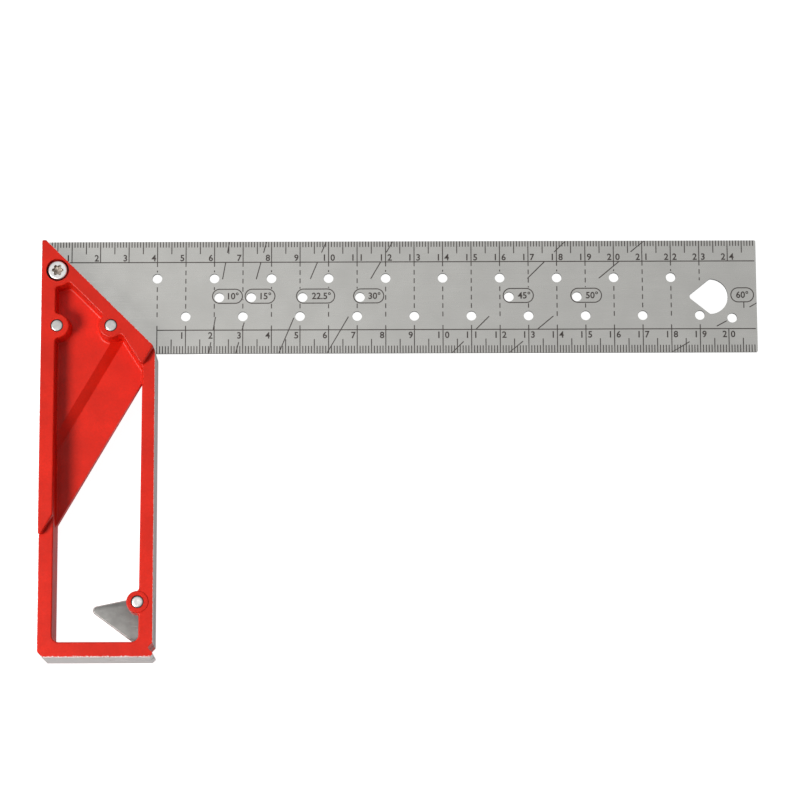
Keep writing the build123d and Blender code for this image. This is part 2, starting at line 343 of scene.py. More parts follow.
def stroked(segments, width, low, high):
    """Lines as thin closed boxes. A corner of a box is an end of the segment, plus or minus half the
    width along the segment's normal, at the low or the high level, held inside the blade's outline."""
    segments = np.asarray(segments, float)
    along = segments[:, 1] - segments[:, 0]
    along /= np.linalg.norm(along, axis=1, keepdims=True)
    normal = np.stack([-along[:, 1], along[:, 0]], -1) * width / 2
    ring = np.stack(
        [
            segments[:, 0] - normal,
            segments[:, 1] - normal,
            segments[:, 1] + normal,
            segments[:, 0] + normal,
        ],
        1,
    )
    points = np.empty((len(segments), 2, 4, 3))
    points[..., :2] = ring[:, None]
    points[..., 0] = np.minimum(points[..., 0], BLADE_END)
    points[..., 1] = np.clip(points[..., 1], 0, BLADE_WIDTH)
    points[..., 2] = np.array([low, high])[None, :, None]
    box = np.array(
        [[0, 3, 2, 1], [4, 5, 6, 7], [0, 1, 5, 4], [1, 2, 6, 5], [2, 3, 7, 6], [3, 0, 4, 7]]
    )
    faces = (np.arange(len(segments))[:, None, None] * 8 + box).reshape(-1, 4)
    return points.reshape(-1, 3), faces


def carried(profile, path, normals):
    """A closed profile carried along a closed path: point (i, j) is path point i moved by the
    profile's first coordinate along the path's normal, and by its second one along z."""
    profile, path, normals = (np.asarray(a, float) for a in (profile, path, normals))
    points = np.empty((len(path), len(profile), 3))
    points[..., :2] = path[:, None] + normals[:, None] * profile[None, :, :1]
    points[..., 2] = profile[None, :, 1]
    return points.reshape(-1, 3), grid_quads(len(path), len(profile), wrap_rows=True)


def revolved(profile, at, segments=96, lobes=6):
    """A profile of (radius, height, wave) turned about a vertical axis. The radius at an angle is
    radius * (1 + wave * cos(lobes * angle)), so a wave of 0 is round."""
    radius, height, wave = np.array([(*p, 0)[:3] for p in profile], float).T[:, :, None]
    angle = np.linspace(0, 2 * pi, segments, endpoint=False)[None, :]
    reach = radius * (1 + wave * np.cos(lobes * angle))
    points = np.stack(
        np.broadcast_arrays(at[0] + reach * np.cos(angle), at[1] + reach * np.sin(angle), height), -1
    )
    return points.reshape(-1, 3), grid_quads(len(profile), segments)


def new_mesh(name, points, faces, sharp=SMOOTH_ANGLE):
    """A mesh in part-frame metres with doubled points merged and its closed shells facing outwards."""
    mesh = bpy.data.meshes.new(name)
    mesh.from_pydata(placed(points).tolist(), [], [list(map(int, face)) for face in faces])
    cleaned(mesh, recalculate=True)
    smoothed(mesh, sharp)
    return mesh


def cleaned(mesh, recalculate):
    """Merges a mesh's doubled points, and turns its faces outwards if asked."""
    shape = bmesh.new()
    shape.from_mesh(mesh)
    bmesh.ops.remove_doubles(shape, verts=shape.verts, dist=1e-7)
    if recalculate:
        bmesh.ops.recalc_face_normals(shape, faces=shape.faces)
    shape.to_mesh(mesh)
    shape.free()


def smoothed(mesh, angle):
    """Shades a mesh smooth, but for the edges that are sharper than the angle."""
    mesh.polygons.foreach_set("use_smooth", np.ones(len(mesh.polygons), bool))
    mesh.set_sharp_from_angle(angle=angle)


def add_piece(name, mesh, material, body, replaces=()):
    """Links a finished mesh to the scene with its material, parents it to its body, and hides the CAD
    nodes that it replaces.
    """
    piece = bpy.data.objects.new(name, mesh)
    bpy.context.scene.collection.objects.link(piece)
    mesh.materials.clear()
    mesh.materials.append(material)
    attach(piece, body)
    if replaces:
        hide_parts(*replaces)
    return piece


def cad_copy(node, name):
    """A copy of a CAD node's shape, with its loose triangles merged and its own normals left out."""
    source = frame["nodes"][node].data
    points, corners = np.empty(len(source.vertices) * 3), np.empty(len(source.loops), np.int32)
    source.vertices.foreach_get("co", points)
    source.loops.foreach_get("vertex_index", corners)
    mesh = bpy.data.meshes.new(name)
    mesh.from_pydata(points.reshape(-1, 3).tolist(), [], corners.reshape(-1, 3).tolist())
    cleaned(mesh, recalculate=False)
    return mesh


# ---------------------------------------------------------------- node helpers


class Tree:
    """Adds nodes to a node tree, with their values and links given by input name."""

    def __init__(self, tree):
        self.tree = tree

    def node(self, kind, settings=None, **inputs):
        """A shader node. An input's name has underscores for its spaces."""
        node = self.tree.nodes.new("ShaderNode" + kind)
        for key, value in (settings or {}).items():
            setattr(node, key, value)
        for key, value in inputs.items():
            self.give(node.inputs[key.replace("_", " ")], value)
        return node

    def give(self, socket, value):
        """Links a socket to a socket, or sets it to a plain value."""
        if isinstance(value, bpy.types.NodeSocket):
            self.tree.links.new(value, socket)
        else:
            socket.default_value = value

    def maths(self, operation, *values):
        """The result of a sum, product or the like."""
        node = self.node("Math", {"operation": operation})
        for socket, value in zip(node.inputs, values):
            self.give(socket, value)
        return node.outputs[0]

    def mixed(self, factor, first, second):
        """A colour between two, the second one where the factor is 1."""
        node = self.node("Mix", {"data_type": "RGBA"})
        self.give(node.inputs[0], factor)
        for socket, value in zip(node.inputs[6:8], (first, second)):
            self.give(socket, value if isinstance(value, bpy.types.NodeSocket) else (*value, 1))
        return node.outputs[2]

    def ranged(self, value, low, high, to_low, to_high):
        """A value moved from one range to another, and held inside it."""
        node = self.node("MapRange", From_Min=low, From_Max=high, To_Min=to_low, To_Max=to_high)
        self.give(node.inputs["Value"], value)
        return node.outputs[0]

    def place(self):
        """The surface point in Object coordinates."""
        return self.node("TexCoord").outputs["Object"]

    def noise(self, size, detail, stretch=None, roughness=0.5):
        """Noise whose features are about size metres, drawn out by stretch along each axis."""
        vector = self.place()
        if stretch:
            vector = self.node("Mapping", Vector=vector, Scale=stretch).outputs[0]
        given = isinstance(size, bpy.types.NodeSocket)
        scale = self.maths("DIVIDE", 1, size) if given else 1 / size
        made = self.node("TexNoise", Vector=vector, Scale=scale, Detail=detail, Roughness=roughness)
        return made.outputs[0]


def new_group(name, inputs, *outputs):
    """An empty node group with its sockets. Returns the tree and its input and output nodes."""
    group = bpy.data.node_groups.new(name, "ShaderNodeTree")
    for label, value in inputs.items():
        socket = group.interface.new_socket(label, in_out="INPUT", socket_type="NodeSocketFloat")
        socket.default_value = value
    for label in outputs:
        group.interface.new_socket(label, in_out="OUTPUT", socket_type="NodeSocketFloat")
    tree = Tree(group)
    return tree, group.nodes.new("NodeGroupInput"), group.nodes.new("NodeGroupOutput")


def use_group(tree, name, **inputs):
    """A group placed in a tree with its own values."""
    node = tree.tree.nodes.new("ShaderNodeGroup")
    node.node_tree = bpy.data.node_groups[name]
    for key, value in inputs.items():
        tree.give(node.inputs[key.replace("_", " ")], value)
    return node


def make_grain_group():
    """Fine lines along x, as a belt grinder leaves them, with slow changes across them."""
    tree, given, out = new_group("Ground grain", {"Width": 0.0001}, "Lines", "Height")
    width = given.outputs["Width"]
    fine = tree.noise(width, 3, stretch=(0.015, 1, 1), roughness=0.7)
    broad = tree.noise(tree.maths("MULTIPLY", width, 9), 2, stretch=(0.03, 1, 1))
    fine_part, broad_part = tree.maths("MULTIPLY", fine, 0.65), tree.maths("MULTIPLY", broad, 0.35)
    tree.give(out.inputs["Lines"], tree.maths("ADD", fine_part, broad_part))
    tree.give(out.inputs["Height"], fine)


def make_mottle_group():
    """Soft uneven patches between two values."""
    tree, given, out = new_group("Mottle", {"Size": 0.01, "Low": 0.0, "High": 1.0}, "Value")
    cloud = tree.noise(given.outputs["Size"], 3)
    value = tree.ranged(cloud, 0.3, 0.7, given.outputs["Low"], given.outputs["High"])
    tree.give(out.inputs["Value"], value)


def make_peel_group():
    """Orange peel of a powder coat on a cast surface: small cells on longer waves."""
    tree, given, out = new_group("Orange peel", {"Size": 0.0007}, "Height")
    size = given.outputs["Size"]
    cells = tree.noise(size, 1)
    waves = tree.noise(tree.maths("MULTIPLY", size, 6), 1)
    height = tree.maths("ADD", tree.maths("MULTIPLY", cells, 0.3), waves)
    tree.give(out.inputs["Height"], height)


def make_wear_group():
    """A mask of chips beside the machined faces, mostly along the foot: small noise cells pass where
    the distance to the nearest machined face is short."""
    tree, given, out = new_group("Edge chips", {"Reach": 0.001, "Amount": 0.7}, "Mask")
    split = tree.node("SeparateXYZ", Vector=tree.place())
    x, y = split.outputs["X"], split.outputs["Y"]
    outer = tree.maths("SUBTRACT", x, STOCK_LOW.x)
    inner = tree.maths("SUBTRACT", STOCK_HIGH.x, x)
    foot = tree.maths("SUBTRACT", y, STOCK_LOW.y)
    mitre = tree.maths("SUBTRACT", float(CORNER[0] + CORNER[1]), tree.maths("ADD", x, y))
    mitre = tree.maths("MULTIPLY", mitre, 1 / sqrt(2))
    sides = tree.maths("MINIMUM", tree.maths("MINIMUM", outer, inner), mitre)
    near = tree.maths("MINIMUM", tree.maths("MULTIPLY", sides, 4), foot)
    close = tree.maths("SUBTRACT", 1, tree.maths("DIVIDE", near, given.outputs["Reach"]))
    cells = tree.noise(0.0005, 2)
    worn = tree.maths("MULTIPLY", tree.maths("MAXIMUM", close, 0), given.outputs["Amount"])
    passed = tree.maths("SUBTRACT", cells, tree.maths("SUBTRACT", 1, worn))
    tree.give(out.inputs["Mask"], tree.ranged(passed, 0.0, 0.05, 0, 1))


def new_material(name):
    """A material with one Principled shader. Returns the material, its tree and the shader."""
    material = bpy.data.materials.new(name)
    material.use_nodes = True
    material.node_tree.nodes.clear()
    tree = Tree(material.node_tree)
    shader = tree.node("BsdfPrincipled")
    output = tree.node("OutputMaterial")
    tree.give(output.inputs["Surface"], shader.outputs[0])
    return material, tree, shader


def mottle(tree, size, low=0.0, high=1.0):
    """Soft patches of about size metres, between two values."""
    return use_group(tree, "Mottle", Size=size, Low=low, High=high).outputs["Value"]


def face_mark(tree, name):
    """The number that each face carries under a name."""
    return tree.node("Attribute", {"attribute_name": name}).outputs["Fac"]


def bump(tree, shader, height, strength, distance):
    """Bumps a shader's surface by a height, of distance metres at full strength."""
    node = tree.node("Bump", Height=height, Strength=strength, Distance=distance)
    tree.give(shader.inputs["Normal"], node.outputs[0])


# ---------------------------------------------------------------- materials


def coated_casting(coat):
    """Red powder coat, with milled aluminium on the faces that the attribute bare marks, and painted
    shade, nearly black, in the fasteners' seats, which the attribute seat marks."""
    material, tree, shader = new_material("red_coated_casting")
    bare = face_mark(tree, "bare")
    seat = face_mark(tree, "seat")
    chips = use_group(tree, "Edge chips", Reach=0.0013, Amount=0.68).outputs["Mask"]
    metal = tree.maths("MAXIMUM", bare, tree.maths("MULTIPLY", chips, 0.3))
    patches = mottle(tree, 0.012)
    red = np.array(coat.red)
    specks = mottle(tree, 0.0007, 0.0, 0.35)
    paint = tree.mixed(specks, tree.mixed(patches, red * 0.88, red * 1.14), red * 0.72)
    paint = tree.mixed(chips, paint, (0.80, 0.66, 0.64))
    # Painted shade: the coat is nearly black in the fasteners' seats, for the shade in the gap round
    # each head.
    paint = tree.mixed(seat, paint, (0.06, 0.02, 0.02))
    grain = use_group(tree, "Ground grain", Width=0.00012)
    bare_tint = np.array(coat.bare)
    metal_colour = tree.mixed(grain.outputs["Lines"], bare_tint * 0.85, bare_tint * 1.1)
    tree.give(shader.inputs["Base Color"], tree.mixed(metal, paint, metal_colour))
    tree.give(shader.inputs["Metallic"], metal)
    shader.inputs["Specular IOR Level"].default_value = 0.25
    low, high = coat.roughness - 0.04, coat.roughness + 0.05
    rough = mottle(tree, 0.004, low, high)
    rougher = tree.maths("ADD", rough, tree.maths("MULTIPLY", metal, 0.02))
    tree.give(shader.inputs["Roughness"], rougher)
    peel = use_group(tree, "Orange peel", Size=coat.peel).outputs["Height"]
    covered = tree.maths("SUBTRACT", 1, metal)
    peel_part = tree.maths("MULTIPLY", peel, covered)
    grain_part = tree.maths("MULTIPLY", grain.outputs["Height"], 0.05)
    bump(tree, shader, tree.maths("ADD", peel_part, grain_part), strength=0.5, distance=0.00013)
    return material


def satin_steel(tint, roughness, grain_width):
    """Ground sheet steel: grain along x, and soft smudges of roughness and darker tone. The faces that
    the attribute cut marks, the upright sides of the holes and the outline, are painted nearly black
    as painted shade."""
    material, tree, shader = new_material("satin_blade_steel")
    grain = use_group(tree, "Ground grain", Width=grain_width)
    smudge = mottle(tree, 0.011)
    tint = np.array(tint)
    shade = tree.mixed(grain.outputs["Lines"], tint * 0.86, tint * 1.1)
    ground = tree.mixed(tree.maths("MULTIPLY", smudge, 0.6), shade, tint * 0.86)
    # Painted shade: the upright sides are painted nearly black, for the shade inside the holes.
    cut = face_mark(tree, "cut")
    tree.give(shader.inputs["Base Color"], tree.mixed(cut, ground, tint * 0.15))
    shader.inputs["Metallic"].default_value = 1
    rough = tree.ranged(grain.outputs["Lines"], 0.3, 0.7, roughness - 0.06, roughness + 0.06)
    rougher = tree.maths("ADD", rough, tree.maths("MULTIPLY", smudge, 0.04))
    tree.give(shader.inputs["Roughness"], rougher)
    bump(tree, shader, grain.outputs["Height"], strength=0.5, distance=0.000006)
    return material


def marking_ink(ink):
    """Dark matt ink whose cover is a little uneven."""
    material, tree, shader = new_material("marking_ink")
    cover = mottle(tree, 0.0012)
    ink = np.array(ink)
    tree.give(shader.inputs["Base Color"], tree.mixed(cover, ink * 0.8, ink * 1.5))
    tree.give(shader.inputs["Roughness"], mottle(tree, 0.001, 0.45, 0.65))
    return material


def turned_metal(name, tint):
    """Plated or bare fastener metal: slightly uneven, with small dents. The faces that the attribute
    grime marks, as inside a recess, are painted dark brown as painted shade, and are duller."""
    material, tree, shader = new_material(name)
    roughness, dent_size, dent_depth = FINISHES[name]
    patches = mottle(tree, 0.0011)
    tint = np.array(tint)
    clean = tree.mixed(patches, tint * 0.9, np.minimum(tint * 1.08, 1))
    # Painted shade: faces deep inside a recess are painted dark brown, for the shade there.
    grime = face_mark(tree, "grime")
    recess_shade_colour = tree.mixed(patches, (0.20, 0.16, 0.13), (0.55, 0.48, 0.42))
    tree.give(shader.inputs["Base Color"], tree.mixed(grime, clean, recess_shade_colour))
    shader.inputs["Metallic"].default_value = 1
    rough = mottle(tree, 0.0007, roughness - 0.04, roughness + 0.05)
    dulled = tree.maths("ADD", rough, tree.maths("MULTIPLY", grime, 0.25))
    tree.give(shader.inputs["Roughness"], dulled)
    bump(tree, shader, tree.noise(dent_size, 2), strength=0.6, distance=dent_depth)
    return material


def plain_plate(tint):
    """Barrel-finished sheet steel with scattered scratches, and a painted highlight where the
    attribute rim says: a pale, less metallic band on the rounded upper edge.
    """
    material, tree, shader = new_material("barrelled_steel")
    patches = mottle(tree, 0.002)
    tint = np.array(tint)
    base = tree.mixed(patches, tint * 0.88, tint * 1.12)
    scratches = tree.noise(0.0006, 2, stretch=(0.12, 1, 1))
    line = tree.ranged(scratches, 0.66, 0.72, 0, 1)
    scratched = tree.mixed(line, base, tint * 1.7)
    # Painted highlight: the rounded upper edge is painted pale and less metallic, for the light that
    # it catches.
    rim = face_mark(tree, "rim")
    tree.give(shader.inputs["Base Color"], tree.mixed(rim, scratched, tint * 2.2))
    tree.give(shader.inputs["Metallic"], tree.ranged(rim, 0, 1, 0.9, 0.2))
    tree.give(shader.inputs["Roughness"], mottle(tree, 0.0009, 0.34, 0.5))
    bump(tree, shader, tree.noise(0.0005, 3), strength=0.5, distance=0.00001)
    return material


# ---------------------------------------------------------------- stock


def machined_share(centres, normals):
    """True for the stock's machined faces. In the square frame a face is machined where it stands
    upright and lies on the outline's outermost straight side, or is a wall of a milled slot."""
    x, y, z = ((centres - CORNER) / MM).T
    outer, inner = FOOT_CHAMFERS
    diagonal = 1 / sqrt(2)
    sides = (  # direction, and how far out the side lies
        ((-1, 0), STOCK_WIDTH),
        ((0, -1), STOCK_LENGTH),
        ((1, 0), 0.0),
        ((diagonal, diagonal), 0.0),
        ((-diagonal, -diagonal), (STOCK_WIDTH + STOCK_LENGTH - outer) * diagonal),
        ((diagonal, -diagonal), (STOCK_LENGTH - inner) * diagonal),
    )
    bare = np.zeros(len(centres), bool)
    for (dx, dy), reach in sides:
        on_side = x * dx + y * dy > reach - HEEL_CUT
        bare |= on_side & (normals[:, 0] * dx + normals[:, 1] * dy > FACING)
    slot_wall = (np.abs(z) < SLOT_REACH) & (np.abs(normals[:, 2]) > FACING)
    return bare | slot_wall


def seat_share(centres):
    """True inside the upright cylinders that are a little wider than the fasteners' heads, where the
    coat gets its painted shade.
    """
    seats = np.zeros(len(centres), bool)
    for node in ("blade_screw", "blade_rivet_outer", "blade_rivet_inner", "support_pin"):
        low, high = (np.array(corner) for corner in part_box(node))
        off = np.hypot(*(centres - (low + high) / 2)[:, :2].T)
        seats |= off < (high[0] - low[0]) / 2 + SEAT_GAP * MM
    return seats


def face_values(mesh, what):
    """The centre or the normal of every face."""
    values = np.empty(len(mesh.polygons) * 3)
    mesh.polygons.foreach_get(what, values)
    return values.reshape(-1, 3)


def mark_faces(mesh, name, values):
    """Stores one number for each face, for the material to read."""
    attribute = mesh.attributes.new(name, "FLOAT", "FACE")
    attribute.data.foreach_set("value", np.asarray(values, np.float32))


class SQUARE_OT_stock(bpy.types.Operator):
    """Make the stock: a powder-coated casting with machined faces"""

    bl_idname = "square.make_stock"
    bl_label = "Stock"

    def execute(self, context):
        coat = context.scene.square_coat
        mesh = cad_copy("stock", "stock_casting")
        centres = face_values(mesh, "center")
        mark_faces(mesh, "bare", machined_share(centres, face_values(mesh, "normal")))
        # The fasteners' seats are marked for the coat's painted shade.
        mark_faces(mesh, "seat", seat_share(centres))
        smoothed(mesh, coat.smooth_angle)
        piece = add_piece(
            "stock_casting", mesh, coated_casting(coat), "handle", ["stock"]
        )
        weighted = piece.modifiers.new("Flat faces stay flat", "WEIGHTED_NORMAL")
        weighted.keep_sharp = True
        return {"FINISHED"}


# ---------------------------------------------------------------- blade


class SQUARE_OT_blade(bpy.types.Operator):
    """Give the blade its satin steel"""

    bl_idname = "square.make_blade"
    bl_label = "Blade"

    def execute(self, context):
        steel = context.scene.square_steel
        mesh = cad_copy("blade", "blade_plate")
        smoothed(mesh, SMOOTH_ANGLE)
        # The upright sides are marked for the steel's painted shade.
        mark_faces(mesh, "cut", np.abs(face_values(mesh, "normal")[:, 2]) < UPRIGHT)
        material = satin_steel(steel.blade, steel.blade_roughness, steel.grain)
        add_piece("blade_plate", mesh, material, "handle", ["blade"])
        return {"FINISHED"}


def capsule(points, left, right, middle_y, radius):
    """Distance of points from a lying capsule, negative inside."""
    x = points[:, 0] - np.clip(points[:, 0], left + radius, right - radius)
    return np.hypot(x, points[:, 1] - middle_y) - radius


def free_of_marks(points):
    """True where a line may run: clear of every hole and label of the blade."""
    free = np.ones(len(points), bool)
    pivots = [(x, BLADE_WIDTH / 2) for x, _ in PIVOTS]
    for hole in (*UPPER_HOLES, *LOWER_HOLES, *pivots, END_PIVOT):
        free &= np.hypot(*(points - hole).T) > SMALL_HOLE + LINE_CLEARANCE
    x, y = (points - HANGER_MIDDLE).T
    free &= np.hypot(x, y) > HANGER_RADIUS + LINE_CLEARANCE
    free &= ~((x < 0) & (np.abs(x) / HANGER_POINT + np.abs(y) / HANGER_RADIUS < POINT_CLEARANCE))
    for left, right, _ in LABELS:
        radius = (LABEL_HIGH - LABEL_LOW) / 2
        middle = (LABEL_HIGH + LABEL_LOW) / 2
        free &= capsule(points, left, right, middle, radius) > LABEL_CLEARANCE
    return free


def clear_runs(start, end, step=0.05):
    """The stretches of a straight line that are clear of holes and labels."""
    start, end = np.asarray(start, float), np.asarray(end, float)
    count = max(2, int(np.linalg.norm(end - start) / step) + 1)
    along = np.linspace(0, 1, count)
    points = start + along[:, None] * (end - start)
    changes = np.flatnonzero(np.diff(np.r_[False, free_of_marks(points), False].astype(int)))
    runs = [(points[a], points[b - 1]) for a, b in zip(changes[::2], changes[1::2])]
    return [run for run in runs if np.linalg.norm(run[1] - run[0]) > SHORTEST_LINE]


def scale_ticks():
    """Both scales: a tick is a segment from an edge inwards, longer at 5 mm, and to the base line at
    10 mm. The upper scale counts from the stock's outer side, the lower one from its inner face."""
    ticks = []
    for zero, edge, inward, lengths, base in (
        (UPPER_ZERO, BLADE_WIDTH, -1, UPPER_TICKS, UPPER_BASE),
        (0.0, 0.0, 1, LOWER_TICKS, LOWER_BASE),
    ):
        step = np.arange(0, int(BLADE_END - zero))
        x = zero + step
        reach = np.where(step % 5 == 0, lengths[1], lengths[0])
        reach = np.where(step % 10 == 0, abs(base - edge), reach)
        shown = x + edge + inward * reach > TICK_START
        start = np.stack([x, np.full(len(x), edge)], -1)
        end = start + np.stack([np.zeros(len(x)), inward * reach], -1)
        ticks.append(np.stack([start, end], 1)[shown])
    return np.concatenate(ticks)


def base_lines():
    """The two lines that the numbers stand at, from the stock to just before the blade's end."""
    return [
        ((LINE_START - UPPER_BASE, UPPER_BASE), (BLADE_END - BASE_STOP, UPPER_BASE)),
        ((0.0, LOWER_BASE), (BLADE_END - BASE_STOP, LOWER_BASE)),
    ]


def dashed_lines():
    """A dashed line at every centimetre between the two base lines, but for the last one."""
    lines = []
    for x in range(0, 10 * LOWER_LAST, 10):
        spans = [(UPPER_BASE, UPPER_BASE - STUB), (LOWER_BASE + STUB, LOWER_BASE)]
        top = UPPER_BASE - STUB - GAP
        while top - DASH > LOWER_BASE + STUB + GAP / 2:
            spans.append((top, top - DASH))
            top -= DASH + GAP
        for high, low in spans:
            lines += clear_runs((x, high), (x, low))
    return lines


def angle_lines():
    """Pieces of the line through each pivot hole, at the label's angle from the blade's width, and
    those of the line through the end pivot."""
    lines = []
    for x, angle in PIVOTS:
        slope = tan(radians(angle))
        below = UNBROKEN_BELOW if angle in UNBROKEN_ANGLES else LINES_BELOW
        for high, low in (*LINES_ABOVE, *below):
            ends = [(x + (y - BLADE_WIDTH / 2) * slope, y) for y in (high, low)]
            lines += clear_runs(*ends)
    for start, end in END_LINES:
        lines += clear_runs(start, end)
    return [*lines, END_LABEL_LINE]


def label_rings(width, low, high):
    """The outline of each label: a rectangle carried around a capsule, which is a half circle at each
    end. A capsule's point is its nearer end middle plus the radius times the direction."""
    radius = (LABEL_HIGH - LABEL_LOW) / 2 - width / 2
    angle = np.linspace(0, 2 * pi, 64, endpoint=False)
    normals = np.stack([np.cos(angle), np.sin(angle)], -1)
    profile = [(-width / 2, low), (width / 2, low), (width / 2, high), (-width / 2, high)]
    rings = []
    for left, right, _ in LABELS:
        reach = (right - left) / 2 - radius - width / 2
        middle = np.stack([np.where(np.cos(angle) > 0, reach, -reach), np.zeros(len(angle))], -1)
        middle += ((left + right) / 2, (LABEL_LOW + LABEL_HIGH) / 2)
        rings.append(carried(profile, middle + radius * normals, normals))
    return rings


def lettering(text, height, low, high):
    """A text as closed shapes: its width centred on x = 0, standing on y = 0."""
    curve = bpy.data.curves.new("lettering", "FONT")
    curve.body = text
    curve.size = height / CAPITAL
    curve.align_x = "CENTER"
    curve.extrude = (high - low) / 2
    curve.offset = DIGIT_WEIGHT
    curve.resolution_u = 3
    writer = bpy.data.objects.new("lettering", curve)
    mesh = bpy.data.meshes.new_from_object(writer)
    points = np.empty(len(mesh.vertices) * 3)
    mesh.vertices.foreach_get("co", points)
    points = points.reshape(-1, 3)
    points[:, 0] -= (points[:, 0].min() + points[:, 0].max()) / 2
    points[:, 2] += (high + low) / 2
    faces = [list(polygon.vertices) for polygon in mesh.polygons]
    for data in (writer, curve, mesh):
        bpy.data.batch_remove([data])
    return points, faces


def number_places(across):
    """Each digit of both scales, with the middle of its foot. Across is -1 for a reader on the back,
    whose left is +x."""
    places = []
    scales = ((UPPER_ZERO, UPPER_FOOT, UPPER_LAST), (0.0, LOWER_FOOT, LOWER_LAST))
    for zero, foot, last in scales:
        for n in range(1, last + 1):
            x = zero + 10 * n
            if n < 10:
                places.append((str(n), x - across * DIGIT_BESIDE, foot))
            else:
                spread = across * DIGIT_SPREAD
                places += [(str(n)[0], x - spread, foot), (str(n)[1], x + spread, foot)]
    return places


def label_places():
    """Each label's text with the middle of its foot, moved aside where a hole takes the left end."""
    places = []
    radius = (LABEL_HIGH - LABEL_LOW) / 2
    for left, right, text in LABELS:
        has_hole = any(left < x < right for x, _ in PIVOTS)
        middle = (left + right) / 2 + (radius * LABEL_ASIDE if has_hole else 0)
        places.append((text, middle, (LABEL_LOW + LABEL_HIGH) / 2 - LABEL_DROP))
    return places


def written(height, low, high, turned):
    """All numbers and labels as (points, faces). Turned ones read from the other side of the blade."""
    across = -1 if turned else 1
    shapes = {}
    parts = []
    for text, x, foot in number_places(across) + label_places():
        if text not in shapes:
            shapes[text] = lettering(text, height, low, high)
        points, faces = shapes[text]
        if not faces:
            raise RuntimeError(f"the text {text!r} made no shape")
        moved = points * (across, 1, across) + (x, foot, 0)
        parts.append((moved, faces))
    points = np.concatenate([p for p, _ in parts])
    faces, start = [], 0
    for part_points, part_faces in parts:
        faces += [[start + v for v in face] for face in part_faces]
        start += len(part_points)
    return points, faces


class SQUARE_OT_markings(bpy.types.Operator):
    """Mark the blade: scales, numbers, dashed lines and angle lines"""

    bl_idname = "square.make_markings"
    bl_label = "Markings"

    def execute(self, context):
        marks = context.scene.square_marks
        stroke, layer = marks.stroke / MM, marks.layer / MM
        ink = marking_ink(marks.ink)
        ticks = scale_ticks()
        for side, name in ((1, "front"), (-1, "back"))[: 2 if marks.both_sides else 1]:
            low, high = BLADE_FACE, BLADE_FACE + layer
            families = (
                (ticks, stroke * 0.95, 1.0),
                (base_lines(), stroke, 1.1),
                (dashed_lines(), stroke, 1.2),
                (angle_lines(), stroke, 1.3),
            )
            parts = [
                stroked(lines, width, low, low + layer * rise) for lines, width, rise in families
            ]
            parts += label_rings(stroke, low, low + layer * 1.4)
            points, faces = joined(parts)
            mesh = new_mesh(f"{name}_scale_lines", points * (1, 1, side), faces)
            add_piece(f"{name}_scale_lines", mesh, ink, "handle")
            digits, faces = written(marks.digit_height / MM, low, high, side < 0)
            mesh = new_mesh(f"{name}_numbers", digits, faces)
            add_piece(f"{name}_numbers", mesh, ink, "handle")
        return {"FINISHED"}


# ---------------------------------------------------------------- fasteners


def middle_of(node):
    """The middle of a CAD node's box in the square frame, and its lowest and highest z."""
    low, high = ((np.array(corner) - CORNER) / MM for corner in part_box(node))
    return (low + high) / 2, low[2], high[2]


def two_ended(end, low, top):
    """A profile with the same end at both heights. An end is (radius, drop from the end's height)."""
    upper = [(radius, top - drop) for radius, drop in end]
    return upper + [(radius, low + drop) for radius, drop in reversed(end)]


class SQUARE_OT_screw(bpy.types.Operator):
    """Make the blade screw, with its rounded rim and six-lobed recess"""

    bl_idname = "square.make_screw"
    bl_label = "Blade screw"

    def execute(self, context):
        steel = context.scene.square_steel
        at, low, top = middle_of("blade_screw")
        rim = [
            (SCREW_RADIUS - SCREW_ROUND * (1 - sin(a)), top - SCREW_ROUND * (1 - cos(a)))
            for a in np.linspace(0, pi / 2, 8)
        ]
        profile = [(radius, top - drop, wave) for radius, drop, wave in SCREW_RECESS]
        profile += [
            *rim,
            (SCREW_RADIUS, top - SCREW_HEAD),
            (SHANK_RADIUS, top - SCREW_HEAD),
            (SHANK_RADIUS, low + SHANK_CHAMFER),
            (SHANK_RADIUS - SHANK_CHAMFER, low),
            (0.0, low),
        ]
        points, faces = revolved(profile, at)
        mesh = new_mesh("blade_screw_turned", points, faces)
        centres = face_values(mesh, "center")
        # Faces deep inside the recess are marked for the metal's painted shade.
        below = centres[:, 2] < placed((0, 0, top - RECESS_SHADE_DEPTH))[2]
        inside = np.hypot(*(centres - placed(at))[:, :2].T) < RECESS_REACH * MM
        mark_faces(mesh, "grime", below & inside)
        metal = turned_metal("bright_plating", steel.plating)
        add_piece("blade_screw_turned", mesh, metal, "handle", ["blade_screw"])
        return {"FINISHED"}


class SQUARE_OT_rivets(bpy.types.Operator):
    """Make the two blade rivets, ground flush and a little domed"""

    bl_idname = "square.make_rivets"
    bl_label = "Blade rivets"

    def execute(self, context):
        steel = context.scene.square_steel
        metal = turned_metal("rivet_metal", steel.rivet)
        for node in ("blade_rivet_outer", "blade_rivet_inner"):
            at, low, top = middle_of(node)
            points, faces = revolved(two_ended(RIVET_END, low, top), at, 64)
            mesh = new_mesh(f"{node}_formed", points, faces, ROUND_ANGLE)
            add_piece(f"{node}_formed", mesh, metal, "handle", [node])
        return {"FINISHED"}


